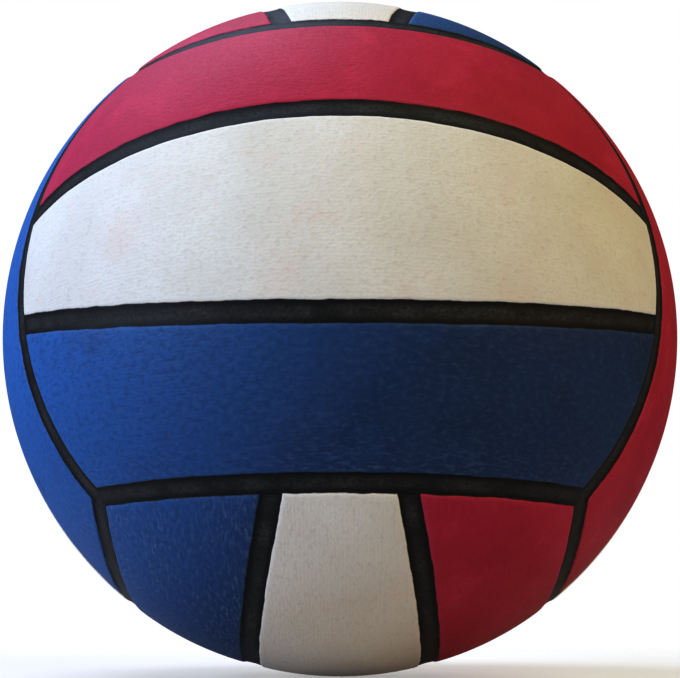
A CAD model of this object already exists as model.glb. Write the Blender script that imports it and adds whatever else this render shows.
import math

import bpy
import numpy as np
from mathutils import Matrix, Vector


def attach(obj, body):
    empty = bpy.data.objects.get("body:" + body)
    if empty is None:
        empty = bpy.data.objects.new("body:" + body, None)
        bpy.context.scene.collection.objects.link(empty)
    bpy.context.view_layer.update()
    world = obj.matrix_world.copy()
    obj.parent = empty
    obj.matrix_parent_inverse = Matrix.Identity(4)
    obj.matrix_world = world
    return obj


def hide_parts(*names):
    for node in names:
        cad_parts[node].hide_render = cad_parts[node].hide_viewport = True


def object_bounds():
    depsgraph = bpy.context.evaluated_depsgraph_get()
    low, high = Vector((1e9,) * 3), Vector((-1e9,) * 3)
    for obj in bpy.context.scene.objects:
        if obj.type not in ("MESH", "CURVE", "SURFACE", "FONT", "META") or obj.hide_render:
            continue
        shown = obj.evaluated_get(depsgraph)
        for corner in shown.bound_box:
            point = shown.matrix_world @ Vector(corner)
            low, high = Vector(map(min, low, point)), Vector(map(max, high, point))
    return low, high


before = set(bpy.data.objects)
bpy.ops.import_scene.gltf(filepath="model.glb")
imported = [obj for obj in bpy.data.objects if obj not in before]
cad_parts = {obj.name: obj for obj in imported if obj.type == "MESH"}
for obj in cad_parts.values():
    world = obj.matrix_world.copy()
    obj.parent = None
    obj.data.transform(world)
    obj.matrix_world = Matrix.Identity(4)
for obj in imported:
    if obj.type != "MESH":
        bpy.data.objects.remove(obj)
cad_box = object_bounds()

# The water polo ball's looks: cover panels with rolled lips and slightly uneven edges, hollowed black seam
# strips between them, and rubber with a finely pebbled grip. Metres, in the frame of the CAD model: the
# photographed group of panels faces -Y, its strips lie along X, and the valve faces +Y.

MM = 0.001

# Shape, as in the CAD model
BALL_RADIUS = (cad_box[1][0] - cad_box[0][0]) / 2
PANEL_THICKNESS = 1.4 * MM
UNDERSIDE_RADIUS = BALL_RADIUS - PANEL_THICKNESS
HALF_CHANNEL = 2.7 * MM
MIDDLE_HALF_ANGLE = math.radians(14.0)  # from a white panel's middle to the seams beside it
CORNER_ANGLE = math.acos(1 / math.sqrt(3))  # from a group's middle to the corners where three groups meet
GROUP_ANGLE = CORNER_ANGLE - HALF_CHANNEL / BALL_RADIUS
EDGE_HALF_TURN = math.pi / 4  # an edge strip takes up a quarter of its circle
MITRE_SLOPE = 1 / math.sqrt(3)  # of an edge strip's pointed ends, which meet in threes
VALVE_HOLE_RADIUS = 6.05 * MM
VALVE_GROUP = "back"
# Each group's outward direction, and the direction from its white panel to its red one.
GROUPS = {
    "front": ((0, -1, 0), (0, 0, 1)),
    "top": ((0, 0, 1), (-1, 0, 0)),
    "left": ((-1, 0, 0), (0, 1, 0)),
    "back": ((0, 1, 0), (0, 0, -1)),
    "bottom": ((0, 0, -1), (1, 0, 0)),
    "right": ((1, 0, 0), (0, -1, 0)),
}
SIDES = {"red": 1, "blue": -1}

# Detail of the panels and seams
LIP_WIDTH = 1.0 * MM  # how far in from a panel's edge its surface starts to roll down
LIP_DROP = 0.55 * MM
CROWN_DROP = 0.16 * MM  # how far the surface sinks towards the edges
CROWN_REACH = 5.0 * MM
LIP_LAP = 0.12 * MM  # how far a panel's edge laps over its strip
EDGE_WAVER = 0.13 * MM  # how far a panel's edge strays from its line
WAVER_LENGTHS = (31 * MM, 13 * MM, 5.7 * MM)
WAVER_SHARES = (0.5, 0.35, 0.25)
SEAM_RECESS = 0.45 * MM  # at the sides of a seam strip
SEAM_HOLLOW = 0.18 * MM  # further down along its middle
SEAM_TUCK = 0.4 * MM  # how far a strip runs in under the panels
SEAM_JOINT = 0.02 * MM  # between the ends of strips

# Meshes
EDGE_STEPS = np.array([0, 0.04, 0.12, 0.25, 0.43, 0.68, 1.0, 1.5, 2.3, 3.4]) * MM  # rows beside an edge
CELL = 2.4 * MM
SEAM_CELL = 1.5 * MM
SEAM_COLUMNS = 13
SHARP_ANGLE = math.radians(42)
END_GUESS = 0.8  # radians along a panel to its end, where the search for it starts
END_ROUNDS = 60
VALVE_WINDOW = 11 * MM  # half of the square patch round the valve's hole
VALVE_RINGS = (0, 0.008, 0.025, 0.05, 0.09, 0.14, 0.2, 0.3, 0.46, 0.7)  # from the hole to the patch's border

# Colours, linear
WHITE = (1, 1, 1, 1)
BLACK = (0.006, 0.0065, 0.0075, 1)
DUST = (0.050, 0.051, 0.053, 1)
TONES = {
    "red": {
        "base": (0.445, 0.024, 0.060, 1),
        "deep": (0.36, 0.014, 0.041, 1),
        "worn": (0.60, 0.07, 0.13, 1),
    },
    "white": {
        "base": (0.74, 0.74, 0.715, 1),
        "deep": (0.655, 0.635, 0.585, 1),
        "worn": (0.86, 0.85, 0.83, 1),
    },
    "blue": {
        "base": (0.0120, 0.037, 0.120, 1),
        "deep": (0.0095, 0.028, 0.088, 1),
        "worn": (0.045, 0.125, 0.305, 1),
    },
}
SPECKS = {"red": (0.24, 0.014, 0.035, 1), "white": (0.46, 0.41, 0.37, 1), "blue": (0.078, 0.140, 0.280, 1)}
STAINS = {"red": (0.58, 0.041, 0.11, 1), "white": (0.72, 0.57, 0.51, 1), "blue": (0.019, 0.065, 0.205, 1)}
# How the rubber has aged: the colour that it tends to, how far, in which direction from the ball's middle,
# and between which two values of the dot product of that direction and a place.
AGED = {
    "red": {"tone": (0.48, 0.042, 0.132, 1), "share": 0.55, "side": (-1, 0, 0), "reach": (-0.03, 0.1)},
    "white": {"tone": (0.74, 0.60, 0.48, 1), "share": 0.5, "side": (0, 0, -1), "reach": (0.05, 0.1)},
    "blue": {"tone": (0.026, 0.146, 0.475, 1), "share": 0.9, "side": (-0.9, 0, 0.5), "reach": (-0.03, 0.075)},
}
THREAD_TONES = ((0.32, 0.27, 0.18, 1), (0.62, 0.57, 0.45, 1))
PAPER_TONES = ((0.92, 0.90, 0.85, 1), (0.95, 0.93, 0.89, 1))

# Noises: size, detail and, where it isn't the usual one, roughness
MOTTLE = (26 * MM, 5.0, 0.62)
STAIN = (17 * MM, 4.0, 0.6)
PATCH = (26 * MM, 3.0)
STREAK = (0.9 * MM, 2.0)
PEBBLE = (1.35 * MM, 1.5, 0.6)
GRAIN = (0.7 * MM, 2.0)
RAGGED = (4.5 * MM, 3.0)
SEAM_PATCH = (9 * MM, 4.0)
SEAM_GRAIN = (0.8 * MM, 3.0)
SKIN = (0.35 * MM, 3.0)
BLOOM_DETAIL = 4.0
PAPER = (60 * MM, 2.0)
STREAK_STRETCH = 0.3  # along the strip, as a share of the noise's scale across it
PEBBLE_STRETCH = 0.7

# Ramps: the two values between which something sets in and, where they are fixed, its shares there
MOTTLE_RAMP = (0.35, 0.68)
STAIN_RAMP = (0.54, 0.74, 0.0, 0.6)
PATCH_RAMP = (0.36, 0.62, 0.3, 1.0)
SCUFF_RAMP = (-66 * MM, -53 * MM, 1.0, 0.15)  # the streaks fade from the first height to the second
STREAK_RAMP = (0.51, 0.70)
HOLLOW_RAMP = (0.36, 0.50)
SPECK_RAMP = (0.52, 0.72)
RIM_RAMP = (0.3 * MM, 1.6 * MM)
RIM_PATCH_RAMP = (0.3, 0.6)
RAGGED_RAMP = (0.3, 0.72)
BLACK_RAMP = (-0.02 * MM, 0.2 * MM, 1.0, 0.0)
GRAIN_RAMP = (0.3, 0.7)
DUST_PATCH_RAMP = (0.35, 0.68, 0.25, 1.0)
DUST_GRAIN_RAMP = (0.35, 0.7, 0.3, 1.0)
DUST_MIDDLE_RAMP = (0.3 * HALF_CHANNEL, 0.8 * HALF_CHANNEL, 1.0, 0.0)  # dust lies along a strip's middle
BLOOM_RAMP = (0.4, 0.7)

# How strong each thing is
STREAK_SHARE = {"red": 0.25, "white": 0.18, "blue": 0.8}
HOLLOW_SHARE = {"red": 0.25, "white": 0.7, "blue": 0.3}  # of the deep tone between the pebbles
SPECK_SHARE = {"red": 0.2, "white": 0.3, "blue": 0.15}  # on the tops of the pebbles
WORN_RIM = {"red": 0.25, "white": 0.25, "blue": 0.15}  # how pale the rubber is beside its edge
BLACKENED_LIP = 0.26 * MM  # how far the black creeps in over a panel's edge

# Relief: ribs, the weights of heights that are added, and strengths and depths of bumps
WAVE_RADIANS = 20  # of a wave texture's phase, for each unit of its scale
RIB_BREAKS = {"Detail": 2.0, "Detail Scale": 1.4, "Detail Roughness": 0.6}
RIB_PERIOD = 0.95 * MM
RIB_DISTORTION = 4.0
THREAD_PERIOD = 0.9 * MM
THREAD_DISTORTION = 3.0
PEBBLE_WEIGHT = 3.5
GRAIN_WEIGHT = 2.0
RIB_WEIGHT = 0.35
SEAM_PATCH_WEIGHT = 2.5
GRIP_BUMP = (0.5, 0.075 * MM)
SEAM_BUMP = (0.5, 0.12 * MM)
SKIN_BUMP = (0.4, 0.06 * MM)
THREAD_BUMP = (0.6, 0.15 * MM)

# Gloss and roughness
PANEL_GLOSS = {"red": 0.16, "white": 0.16, "blue": 0.19}
SEAM_GLOSS = 0.13
PAPER_GLOSS = 0.1
PANEL_ROUGHNESS = (0.50, 0.66)
SEAM_ROUGHNESS = (0.46, 0.64)
THREAD_ROUGHNESS = (0.62, 0.44)  # between the threads and on them
SKIN_ROUGHNESS_RANGE = 0.14
PAPER_ROUGHNESS = 0.8

# The moulded pieces that keep their CAD shape: material, colour, colour of the bloom on it, the least
# roughness, and the size of the bloom's patches
MOULDED = {
    "carcass": ("carcass_rubber", (0.012, 0.012, 0.013, 1), (0.022, 0.022, 0.023, 1), 0.55, 8 * MM),
    "bladder": ("bladder_rubber", (0.010, 0.010, 0.011, 1), (0.020, 0.019, 0.019, 1), 0.42, 12 * MM),
    "valve_boot": ("valve_rubber", (0.016, 0.016, 0.017, 1), (0.034, 0.033, 0.032, 1), 0.46, 3 * MM),
    "valve_core": ("core_rubber", (0.030, 0.030, 0.031, 1), (0.055, 0.053, 0.050, 1), 0.50, 2 * MM),
}

# Size of the floor
FLOOR_RADIUS = 0.6
FLOOR_CLEAR = 0.13  # the distance from the ball's middle where it starts to fade
FLOOR_SIDES = 96
FLOOR_COVER = 0.6  # at the middle

# Light: cool and soft from the upper left, dim and warm from the right, and one behind the ball
AMBIENT = 0.13
LIGHT_SIZE = 0.9
# Each light's place, colour and watts
LIGHTS = {
    "window": ((-1.16, -0.67, 0.38), (0.65, 0.745, 0.985), 22.4),
    "skylight": ((-0.44, -0.05, 1.25), (0.59, 0.71, 1.0), 13.8),
    "lamp": ((0.62, -0.9, 0.77), (1.0, 0.95, 0.42), 7.3),
    "low_lamp": ((1.16, -0.67, 0.35), (1.0, 0.50, 0.22), 4.6),
    "behind": ((0.0, 1.35, 0.45), (0.95, 0.97, 1.0), 9),
}

# Camera: below the ball's middle, close to it
CAMERA_TILT = math.radians(-17.35)
CAMERA_DISTANCE = 2.933 * BALL_RADIUS
LENS = 49.26
SENSOR_WIDTH = 36.0
CLIP_START = 0.01
VIEW_GAMMA = 0.8  # a photograph's deeper shadows


def axes_of(group, side=1):
    """Outward, across (towards the panel on that side) and along, as unit vectors."""
    outward = np.array(GROUPS[group][0], float)
    across = np.array(GROUPS[group][1], float) * side
    return outward, across, np.cross(outward, across)


def waver(name, place):
    """Smooth small wandering of an edge, the same each time for the same name."""
    seed = sum((i + 1) * ord(c) for i, c in enumerate(name))
    phases = np.random.default_rng(seed).uniform(0, math.tau, len(WAVER_LENGTHS))
    total = np.zeros_like(place)
    for length, phase, share in zip(WAVER_LENGTHS, phases, WAVER_SHARES):
        total += share * np.sin(place * math.tau / length + phase)
    return total * EDGE_WAVER


def spread(reach):
    """Places from 0 to reach, close together beside both ends."""
    middle = reach - 2 * EDGE_STEPS[-1]
    inner = EDGE_STEPS[-1] + middle * np.linspace(0, 1, max(2, round(middle / CELL)) + 1)[1:-1]
    return np.concatenate([EDGE_STEPS, inner, (reach - EDGE_STEPS)[::-1]])


def seam_offset(name, lam):
    """The angle between a seam's centre line and a panel's edge beside it, for an angle along the panel."""
    return (HALF_CHANNEL - LIP_LAP + waver(name, lam * BALL_RADIUS)) / BALL_RADIUS


def white_edge(name, sign):
    """The angle round the along axis of a white panel's edge on one side, for an angle along it."""
    def edge(lam):
        return sign * (MIDDLE_HALF_ANGLE - np.arcsin(seam_offset(f"{name}{sign}", lam) / np.cos(lam)))
    return edge


def inner_edge(name):
    """The same for a red or blue panel's edge beside the white one."""
    def edge(lam):
        return MIDDLE_HALF_ANGLE + np.arcsin(seam_offset(name + "inner", lam) / np.cos(lam))
    return edge


def outer_edge(name):
    """The same for a red or blue panel's edge on the group's long side."""
    def edge(lam):
        polar = CORNER_ANGLE + seam_offset(name + "outer", lam)
        return np.arcsin(np.clip(np.cos(polar) / np.cos(lam), -1, 1))
    return edge


def end_angle(name, sign, alpha):
    """The angle from the group's middle to a panel's end."""
    return GROUP_ANGLE + (LIP_LAP - waver(f"{name}end{sign}", alpha * BALL_RADIUS)) / BALL_RADIUS


def panel_grid(name, group, colour):
    """Directions over a panel, and each one's distance from the panel's edge."""
    outward, across, along = axes_of(group, SIDES.get(colour, 1))
    if colour == "white":
        low_edge, high_edge = white_edge(name, -1), white_edge(name, 1)
    else:
        low_edge, high_edge = inner_edge(name), outer_edge(name)
    middle = np.zeros(1)
    width = float(high_edge(middle)[0] - low_edge(middle)[0]) * BALL_RADIUS
    length = 2 * GROUP_ANGLE * BALL_RADIUS
    v = (spread(width) / width)[None, :]
    u = (spread(length) / length * 2 - 1)[:, None]
    reach = {}
    for sign in (-1, 1):
        lam = np.full(v.shape, END_GUESS)
        for _ in range(END_ROUNDS):
            alpha = (1 - v) * low_edge(sign * lam) + v * high_edge(sign * lam)
            lam = np.arccos(np.clip(np.cos(end_angle(name, sign, alpha)) / np.cos(alpha), -1, 1))
        reach[sign] = lam
    lam = np.where(u < 0, u * reach[-1], u * reach[1])
    low = low_edge(lam)
    high = high_edge(lam)
    alpha = (1 - v) * low + v * high
    cos_lam = np.cos(lam)
    spots = (
        (cos_lam * np.sin(alpha))[..., None] * across
        + np.sin(lam)[..., None] * along
        + (cos_lam * np.cos(alpha))[..., None] * outward
    )
    polar = np.arccos(np.clip(cos_lam * np.cos(alpha), -1, 1))
    edge = np.minimum(alpha - low, high - alpha) * cos_lam
    for sign in (-1, 1):
        to_end = end_angle(name, sign, alpha) - polar
        edge = np.where(np.sign(u) == sign, np.minimum(edge, to_end), edge)
    return spots, np.maximum(edge, 0) * BALL_RADIUS


def lip_drop(distance):
    """How far a panel's surface lies below the ball's, at a distance from the panel's edge."""
    roll = np.clip(1 - distance / LIP_WIDTH, 0, 1)
    return LIP_DROP * (1 - np.sqrt(1 - roll ** 2)) + CROWN_DROP * np.exp(-distance / CROWN_REACH)


def grid_faces(numbers):
    """Quads over a grid of vertex numbers."""
    corners = (numbers[:-1, :-1], numbers[1:, :-1], numbers[1:, 1:], numbers[:-1, 1:])
    return np.stack([corner.ravel() for corner in corners], axis=1)


def rim_of(numbers):
    """The vertex numbers round a grid's border, in order."""
    return np.concatenate([numbers[:-1, 0], numbers[-1, :-1], numbers[:0:-1, -1], numbers[0, :0:-1]])


def facing_out(points, faces):
    """The faces, each turned so that it looks away from the ball's centre."""
    first, second, third = (points[faces[:, i]] for i in range(3))
    inward = (np.cross(second - first, third - first) * first).sum(axis=1) < 0
    faces = faces.copy()
    faces[inward] = faces[inward][:, ::-1]
    return faces


def border_of(faces):
    """The directed edges that only one face has."""
    edges = np.concatenate([faces[:, [i, (i + 1) % 4]] for i in range(4)]).tolist()
    there = {(a, b) for a, b in edges}
    return np.array([(a, b) for a, b in edges if (b, a) not in there])


def new_object(name, points, faces):
    """A mesh object with smooth faces."""
    mesh = bpy.data.meshes.new(name)
    mesh.from_pydata(points.tolist(), [], faces.tolist())
    mesh.update()
    mesh.polygons.foreach_set("use_smooth", np.ones(len(mesh.polygons), dtype=bool))
    mesh.set_sharp_from_angle(angle=SHARP_ANGLE)
    obj = bpy.data.objects.new(name, mesh)
    bpy.context.scene.collection.objects.link(obj)
    return obj


def closed_sheet(name, spots, radii, faces):
    """A sheet with an outer surface at the radii, an underside, and walls round its borders."""
    used, faces = np.unique(faces, return_inverse=True)
    faces = faces.reshape(-1, 4)
    outer = spots[used] * radii[used][:, None]
    inner = spots[used] * UNDERSIDE_RADIUS
    count = len(used)
    top = facing_out(outer, faces)
    border = border_of(top)
    wall = np.stack([border[:, 1], border[:, 0], border[:, 0] + count, border[:, 1] + count], axis=1)
    obj = new_object(name, np.concatenate([outer, inner]), np.concatenate([top, top[:, ::-1] + count, wall]))
    return obj, used


def keep_places(obj, values):
    """Store a vector on each vertex for the materials: along, across, and distance from the edge."""
    layer = obj.data.attributes.new("strip", "FLOAT_VECTOR", "POINT")
    layer.data.foreach_set("vector", np.concatenate([values, values]).astype(np.float32).ravel())


def dress(obj, node):
    """The object stands for a CAD node of the ball."""
    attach(obj, "ball")
    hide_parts(node)


def open_valve_hole(spots, edge, numbers, group):
    """Cut a round hole in a panel's grid: directions and edge distances with the hole's rings, and faces."""
    outward, across, along = axes_of(group)
    flat = spots.reshape(-1, 3)
    window_reach = VALVE_WINDOW / BALL_RADIUS
    inside = (np.abs(flat @ along) < window_reach) & (np.abs(flat @ across) < window_reach)
    inside = (inside & (flat @ outward > 0)).reshape(numbers.shape)
    rows = np.flatnonzero(inside.any(axis=1))
    columns = np.flatnonzero(inside.any(axis=0))
    window = numbers[rows[0]:rows[-1] + 1, columns[0]:columns[-1] + 1]
    faces = grid_faces(numbers)
    gone = np.isin(faces, window).all(axis=1)
    rim = rim_of(window)
    polar = np.arccos(flat[rim] @ outward)
    turn = np.arctan2(flat[rim] @ along, flat[rim] @ across)
    hole = VALVE_HOLE_RADIUS / BALL_RADIUS
    loops = []
    rings = []
    start = len(flat)
    for share in VALVE_RINGS:
        angle = hole + (polar - hole) * share
        rings.append(
            (np.sin(angle) * np.cos(turn))[:, None] * across
            + (np.sin(angle) * np.sin(turn))[:, None] * along
            + np.cos(angle)[:, None] * outward
        )
        loops.append(np.arange(start, start + len(rim)))
        start += len(rim)
    loops.append(rim)
    ring_numbers = np.stack([np.append(loop, loop[0]) for loop in loops])
    spots = np.concatenate([flat] + rings)
    edge = np.append(edge.ravel(), np.full(len(spots) - len(flat), BALL_RADIUS))
    edge = np.minimum(edge, np.maximum(np.arccos(np.clip(spots @ outward, -1, 1)) - hole, 0) * BALL_RADIUS)
    return spots, edge, np.concatenate([faces[~gone], grid_faces(ring_numbers)])


def make_panel(group, colour):
    """One cover panel."""
    node = f"{group}_{colour}_panel"
    spots, edge = panel_grid(node, group, colour)
    numbers = np.arange(edge.size).reshape(edge.shape)
    if (group, colour) == (VALVE_GROUP, "white"):
        spots, edge, faces = open_valve_hole(spots, edge, numbers, group)
    else:
        spots, edge, faces = spots.reshape(-1, 3), edge.ravel(), grid_faces(numbers)
    obj, used = closed_sheet(node + "_cover", spots, BALL_RADIUS - lip_drop(edge), faces)
    outward, across, along = axes_of(group)
    run = np.arctan2(spots @ along, spots @ outward) * BALL_RADIUS
    rise = np.arcsin(np.clip(spots @ across, -1, 1)) * BALL_RADIUS
    keep_places(obj, np.stack([run, rise, edge], axis=1)[used])
    dress(obj, node)
    return obj


def seam_distance(spots):
    """Distance from the nearest seam's centre line."""
    least = np.full(len(spots), BALL_RADIUS)
    for group in GROUPS:
        for side in SIDES.values():
            outward, across, along = axes_of(group, side)
            up, over, run = spots @ outward, spots @ across, spots @ along
            lean = math.cos(MIDDLE_HALF_ANGLE) * over - math.sin(MIDDLE_HALF_ANGLE) * up
            inner = np.abs(np.arcsin(np.clip(lean, -1, 1))) * BALL_RADIUS
            least = np.where(up >= math.cos(CORNER_ANGLE), np.minimum(least, inner), least)
            outer = np.abs(np.arccos(np.clip(over, -1, 1)) - CORNER_ANGLE) * BALL_RADIUS
            least = np.where(np.abs(run) <= up, np.minimum(least, outer), least)
    return least


def make_seam(node, spots, run, offset):
    """One black strip over a grid of directions."""
    flat = spots.reshape(-1, 3)
    hollow = np.clip(1 - (seam_distance(flat) / HALF_CHANNEL) ** 2, 0, 1)
    radii = BALL_RADIUS - SEAM_RECESS - SEAM_HOLLOW * hollow
    numbers = np.arange(len(flat)).reshape(spots.shape[:2])
    obj, used = closed_sheet(node + "_strip", flat, radii, grid_faces(numbers))
    keep_places(obj, np.stack([run.ravel(), offset.ravel(), np.zeros(run.size)], axis=1)[used])
    dress(obj, node)
    return obj


def seam_grid(half_length):
    """Places along a strip, from -1 to 1, and across it."""
    rows = round(2 * half_length / SEAM_CELL)
    half_width = HALF_CHANNEL + SEAM_TUCK
    return np.linspace(-1, 1, rows)[:, None], np.linspace(-half_width, half_width, SEAM_COLUMNS)[None, :]


def make_inner_seam(group, colour):
    """Strip between a group's white panel and its red or blue one."""
    outward, across, along = axes_of(group, SIDES[colour])
    middle = math.sin(MIDDLE_HALF_ANGLE) * across + math.cos(MIDDLE_HALF_ANGLE) * outward
    normal = math.cos(MIDDLE_HALF_ANGLE) * across - math.sin(MIDDLE_HALF_ANGLE) * outward
    end = math.cos(GROUP_ANGLE - (SEAM_TUCK + SEAM_JOINT) / BALL_RADIUS)
    u, offset = seam_grid(GROUP_ANGLE * BALL_RADIUS)
    lift = offset / BALL_RADIUS
    # The strip ends where its outward part falls to that of the group's ends.
    reach = (end + math.sin(MIDDLE_HALF_ANGLE) * np.sin(lift)) / (math.cos(MIDDLE_HALF_ANGLE) * np.cos(lift))
    lam = u * np.arccos(reach)
    lift, offset = (np.broadcast_to(row, lam.shape) for row in (lift, offset))
    spots = (
        (np.cos(lift) * np.cos(lam))[..., None] * middle
        + (np.cos(lift) * np.sin(lam))[..., None] * along
        + np.sin(lift)[..., None] * normal
    )
    return make_seam(f"{group}_{colour}_seam", spots, lam * BALL_RADIUS, offset)


def make_edge_seam(group, colour):
    """Strip along a group's long side, with pointed ends that meet two others."""
    outward, across, along = axes_of(group, SIDES[colour])
    circle = BALL_RADIUS * math.sin(CORNER_ANGLE)
    u, offset = seam_grid(circle * EDGE_HALF_TURN)
    turn = u * (EDGE_HALF_TURN - (np.abs(offset) * MITRE_SLOPE + SEAM_JOINT) / circle)
    offset = np.broadcast_to(offset, turn.shape)
    polar = CORNER_ANGLE + offset / BALL_RADIUS
    spots = (
        (np.sin(polar) * np.cos(turn))[..., None] * outward
        + (np.sin(polar) * np.sin(turn))[..., None] * along
        + np.cos(polar)[..., None] * across
    )
    return make_seam(f"{group}_{colour}_edge_seam", spots, turn * circle, offset)


class Nodes:
    """A material's node tree, with short calls that add to it."""

    def __init__(self, name):
        self.material = bpy.data.materials.new(name)
        self.material.use_nodes = True
        self.tree = self.material.node_tree
        self.shader = self.tree.nodes["Principled BSDF"]

    def put(self, socket, value):
        if isinstance(value, bpy.types.NodeSocket):
            self.tree.links.new(value, socket)
        else:
            socket.default_value = value

    def add(self, kind, inputs, output=0, **settings):
        node = self.tree.nodes.new(kind)
        for key, value in settings.items():
            setattr(node, key, value)
        for key, value in inputs.items():
            self.put(node.inputs[key], value)
        return node.outputs[output]

    def object_place(self):
        return self.add("ShaderNodeTexCoord", {}, output="Object")

    def strip_place(self):
        return self.add("ShaderNodeAttribute", {}, output="Vector", attribute_name="strip")

    def part(self, vector, axis):
        return self.add("ShaderNodeSeparateXYZ", {"Vector": vector}, output=axis)

    def stretched(self, vector, scale):
        return self.add("ShaderNodeVectorMath", {0: vector, 1: scale}, operation="MULTIPLY")

    def dot(self, vector, direction):
        inputs = {0: vector, 1: direction}
        return self.add("ShaderNodeVectorMath", inputs, output="Value", operation="DOT_PRODUCT")

    def length(self, vector):
        return self.add("ShaderNodeVectorMath", {0: vector}, output="Value", operation="LENGTH")

    def noise(self, vector, size, detail, roughness=0.55):
        inputs = {"Vector": vector, "Scale": 1 / size, "Detail": detail, "Roughness": roughness}
        return self.add("ShaderNodeTexNoise", inputs)

    def ribs(self, vector, direction, period, distortion):
        inputs = {"Vector": vector, "Scale": math.tau / WAVE_RADIANS / period, "Distortion": distortion}
        inputs.update(RIB_BREAKS)
        return self.add("ShaderNodeTexWave", inputs, output="Fac", bands_direction=direction)

    def math(self, operation, first, second=0.0):
        return self.add("ShaderNodeMath", {0: first, 1: second}, operation=operation)

    def ramp(self, value, low, high, start=0.0, end=1.0):
        inputs = {"Value": value, "From Min": low, "From Max": high, "To Min": start, "To Max": end}
        return self.add("ShaderNodeMapRange", inputs)

    def mix(self, factor, first, second):
        return self.add("ShaderNodeMix", {0: factor, 6: first, 7: second}, output=2, data_type="RGBA")

    def bump(self, height, strength, depth):
        return self.add("ShaderNodeBump", {"Height": height, "Strength": strength, "Distance": depth})

    def finish(self, **sockets):
        for key, value in sockets.items():
            self.put(self.shader.inputs[key.replace("_", " ")], value)
        return self.material


def plain_tone(nodes, colour, place, mottle):
    """The rubber's colour without its marks: mottled, aged on one side of the ball, and stained."""
    aged = AGED[colour]
    tone = nodes.mix(nodes.ramp(mottle, *MOTTLE_RAMP), TONES[colour]["base"], TONES[colour]["deep"])
    aging = nodes.ramp(nodes.dot(place, aged["side"]), *aged["reach"], 0.0, aged["share"])
    tone = nodes.mix(aging, tone, aged["tone"])
    return nodes.mix(nodes.ramp(nodes.noise(place, *STAIN), *STAIN_RAMP), tone, STAINS[colour])


def marked_tone(nodes, colour, tone, place, strip, pebbles):
    """Streaks along the strip, strongest low on the ball, hollows between pebbles, and specks on them."""
    patches = nodes.ramp(nodes.noise(place, *PATCH), *PATCH_RAMP)
    scuffs = nodes.math("MULTIPLY", patches, nodes.ramp(nodes.part(place, "Z"), *SCUFF_RAMP))
    lines = nodes.noise(nodes.stretched(strip, (STREAK_STRETCH, 1, 0)), *STREAK)
    streaks = nodes.ramp(lines, *STREAK_RAMP, 0.0, STREAK_SHARE[colour])
    tone = nodes.mix(nodes.math("MULTIPLY", streaks, scuffs), tone, SPECKS[colour])
    hollows = nodes.ramp(pebbles, *HOLLOW_RAMP, HOLLOW_SHARE[colour], 0.0)
    tone = nodes.mix(hollows, tone, TONES[colour]["deep"])
    return nodes.mix(nodes.ramp(pebbles, *SPECK_RAMP, 0.0, SPECK_SHARE[colour]), tone, SPECKS[colour])


def edged_tone(nodes, colour, tone, place, edge, mottle):
    """A worn rim beside the panel's edge, and black that creeps over its lip."""
    worn = nodes.ramp(edge, *RIM_RAMP, WORN_RIM[colour], 0.0)
    rim = nodes.math("MULTIPLY", worn, nodes.ramp(mottle, *RIM_PATCH_RAMP))
    tone = nodes.mix(rim, tone, TONES[colour]["worn"])
    creep = nodes.ramp(nodes.noise(place, *RAGGED), *RAGGED_RAMP, 0.0, BLACKENED_LIP)
    black = nodes.ramp(nodes.math("SUBTRACT", edge, creep), *BLACK_RAMP)
    return nodes.mix(black, tone, BLACK)


def panel_relief(nodes, strip, pebbles, grain):
    """The grip: low pebbles, finer grain, and faint broken ribs along the strip."""
    ribs = nodes.ribs(nodes.stretched(strip, (1, 1, 0)), "Y", RIB_PERIOD, RIB_DISTORTION)
    coarse = nodes.math("MULTIPLY", pebbles, PEBBLE_WEIGHT)
    rough = nodes.math("ADD", coarse, nodes.math("MULTIPLY", grain, GRAIN_WEIGHT))
    return nodes.bump(nodes.math("ADD", rough, nodes.math("MULTIPLY", ribs, RIB_WEIGHT)), *GRIP_BUMP)


def panel_rubber(colour):
    """Pressed rubber of a cover panel."""
    nodes = Nodes(colour + "_rubber")
    place = nodes.object_place()
    strip = nodes.strip_place()
    mottle = nodes.noise(place, *MOTTLE)
    pebbles = nodes.noise(nodes.stretched(strip, (PEBBLE_STRETCH, 1, 0)), *PEBBLE)
    grain = nodes.noise(place, *GRAIN)
    tone = plain_tone(nodes, colour, place, mottle)
    tone = marked_tone(nodes, colour, tone, place, strip, pebbles)
    return nodes.finish(
        Base_Color=edged_tone(nodes, colour, tone, place, nodes.part(strip, "Z"), mottle),
        Roughness=nodes.ramp(grain, *GRAIN_RAMP, *PANEL_ROUGHNESS),
        Normal=panel_relief(nodes, strip, pebbles, grain),
        Specular_IOR_Level=PANEL_GLOSS[colour],
    )


def seam_rubber():
    """Black strip: uneven satin, with a little dust."""
    nodes = Nodes("seam_rubber")
    place = nodes.object_place()
    broad = nodes.noise(place, *SEAM_PATCH)
    fine = nodes.noise(place, *SEAM_GRAIN)
    aside = nodes.math("ABSOLUTE", nodes.part(nodes.strip_place(), "Y"))
    dust = nodes.math("MULTIPLY", nodes.ramp(broad, *DUST_PATCH_RAMP), nodes.ramp(fine, *DUST_GRAIN_RAMP))
    dust = nodes.math("MULTIPLY", dust, nodes.ramp(aside, *DUST_MIDDLE_RAMP))
    height = nodes.math("ADD", nodes.math("MULTIPLY", broad, SEAM_PATCH_WEIGHT), fine)
    return nodes.finish(
        Base_Color=nodes.mix(dust, BLACK, DUST),
        Roughness=nodes.ramp(broad, *GRAIN_RAMP, *SEAM_ROUGHNESS),
        Normal=nodes.bump(height, *SEAM_BUMP),
        Specular_IOR_Level=SEAM_GLOSS,
    )


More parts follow.
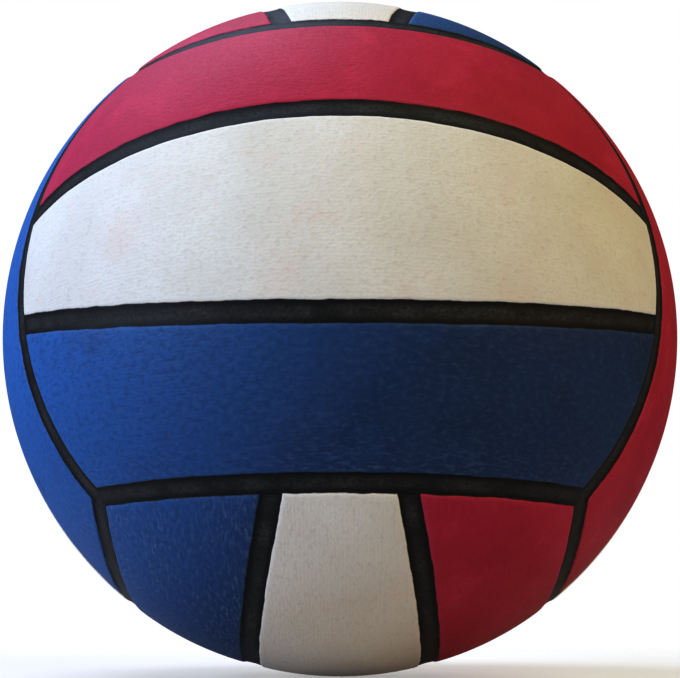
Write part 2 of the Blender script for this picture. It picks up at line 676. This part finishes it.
def moulded_rubber(name, base, bloom, roughness, bloom_size):
    """Plain moulded rubber with a fine skin."""
    nodes = Nodes(name)
    place = nodes.object_place()
    broad = nodes.noise(place, bloom_size, BLOOM_DETAIL)
    fine = nodes.noise(place, *SKIN)
    return nodes.finish(
        Base_Color=nodes.mix(nodes.ramp(broad, *BLOOM_RAMP), base, bloom),
        Roughness=nodes.ramp(fine, *GRAIN_RAMP, roughness, roughness + SKIN_ROUGHNESS_RANGE),
        Normal=nodes.bump(fine, *SKIN_BUMP),
    )


def wound_thread():
    """Nylon thread wound in all directions, bound with latex."""
    nodes = Nodes("nylon_thread")
    place = nodes.object_place()
    mirrored = nodes.stretched(place, (1, -1, 1))
    layers = [nodes.ribs(way, "DIAGONAL", THREAD_PERIOD, THREAD_DISTORTION) for way in (place, mirrored)]
    height = nodes.math("MAXIMUM", *layers)
    return nodes.finish(
        Base_Color=nodes.mix(height, *THREAD_TONES),
        Roughness=nodes.ramp(height, 0.0, 1.0, *THREAD_ROUGHNESS),
        Normal=nodes.bump(height, *THREAD_BUMP),
    )


def floor_paper():
    """Pale paper, fading out with the distance from the ball."""
    nodes = Nodes("floor_paper")
    place = nodes.object_place()
    return nodes.finish(
        Base_Color=nodes.mix(nodes.noise(place, *PAPER), *PAPER_TONES),
        Roughness=PAPER_ROUGHNESS,
        Specular_IOR_Level=PAPER_GLOSS,
        Alpha=nodes.ramp(nodes.length(place), FLOOR_CLEAR, FLOOR_RADIUS, FLOOR_COVER, 0.0),
    )


def paint(node, material):
    """Give a CAD node its material."""
    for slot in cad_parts[node].material_slots:
        slot.material = material


def soft_light(name, place, colour, watts):
    """A square light that faces the ball."""
    light = bpy.data.lights.new(name, "AREA")
    light.size = LIGHT_SIZE
    light.color = colour
    light.energy = watts
    obj = bpy.data.objects.new(name, light)
    bpy.context.scene.collection.objects.link(obj)
    obj.location = place
    obj.rotation_euler = Vector(place).to_track_quat("Z", "Y").to_euler()


# The cover and its seams
rubber = {colour_name: panel_rubber(colour_name) for colour_name in TONES}
strip_rubber = seam_rubber()
for group_name in GROUPS:
    for colour_name in TONES:
        make_panel(group_name, colour_name).data.materials.append(rubber[colour_name])
    for colour_name in SIDES:
        make_inner_seam(group_name, colour_name).data.materials.append(strip_rubber)
        make_edge_seam(group_name, colour_name).data.materials.append(strip_rubber)

# What lies under them, and the valve
for node_name, looks in MOULDED.items():
    paint(node_name, moulded_rubber(*looks))
paint("nylon_winding", wound_thread())

# Floor: a pale disc that fades into the white background
floor_level = cad_box[0][2]
floor_turns = [math.tau * i / FLOOR_SIDES for i in range(FLOOR_SIDES)]
floor_mesh = bpy.data.meshes.new("floor")
floor_mesh.from_pydata(
    [(FLOOR_RADIUS * math.cos(turn), FLOOR_RADIUS * math.sin(turn), floor_level) for turn in floor_turns],
    [],
    [tuple(range(FLOOR_SIDES))],
)
floor = bpy.data.objects.new("floor", floor_mesh)
bpy.context.scene.collection.objects.link(floor)
floor_mesh.materials.append(floor_paper())

# The white background, and weak light from all round
world = bpy.data.worlds.new("studio")
bpy.context.scene.world = world
world.use_nodes = True
world_nodes = world.node_tree.nodes
world_links = world.node_tree.links
ambient = world_nodes["Background"]
ambient.inputs["Color"].default_value = WHITE
ambient.inputs["Strength"].default_value = AMBIENT
backdrop = world_nodes.new("ShaderNodeBackground")
backdrop.inputs["Color"].default_value = WHITE
chooser = world_nodes.new("ShaderNodeMixShader")
world_links.new(world_nodes.new("ShaderNodeLightPath").outputs["Is Camera Ray"], chooser.inputs[0])
world_links.new(ambient.outputs[0], chooser.inputs[1])
world_links.new(backdrop.outputs[0], chooser.inputs[2])
world_links.new(chooser.outputs[0], world_nodes["World Output"].inputs["Surface"])

# The lights
for light_name, settings in LIGHTS.items():
    soft_light(light_name, *settings)

# The camera
camera_data = bpy.data.cameras.new("camera")
camera_data.lens = LENS
camera_data.sensor_width = SENSOR_WIDTH
camera_data.clip_start = CLIP_START
camera = bpy.data.objects.new("camera", camera_data)
bpy.context.scene.collection.objects.link(camera)
bpy.context.scene.camera = camera
towards_camera = Vector((0, -math.cos(CAMERA_TILT), math.sin(CAMERA_TILT)))
camera.location = towards_camera * CAMERA_DISTANCE
camera.rotation_euler = towards_camera.to_track_quat("Z", "Y").to_euler()
bpy.context.scene.view_settings.view_transform = "Standard"
bpy.context.scene.view_settings.gamma = VIEW_GAMMA

bpy.context.view_layer.update()
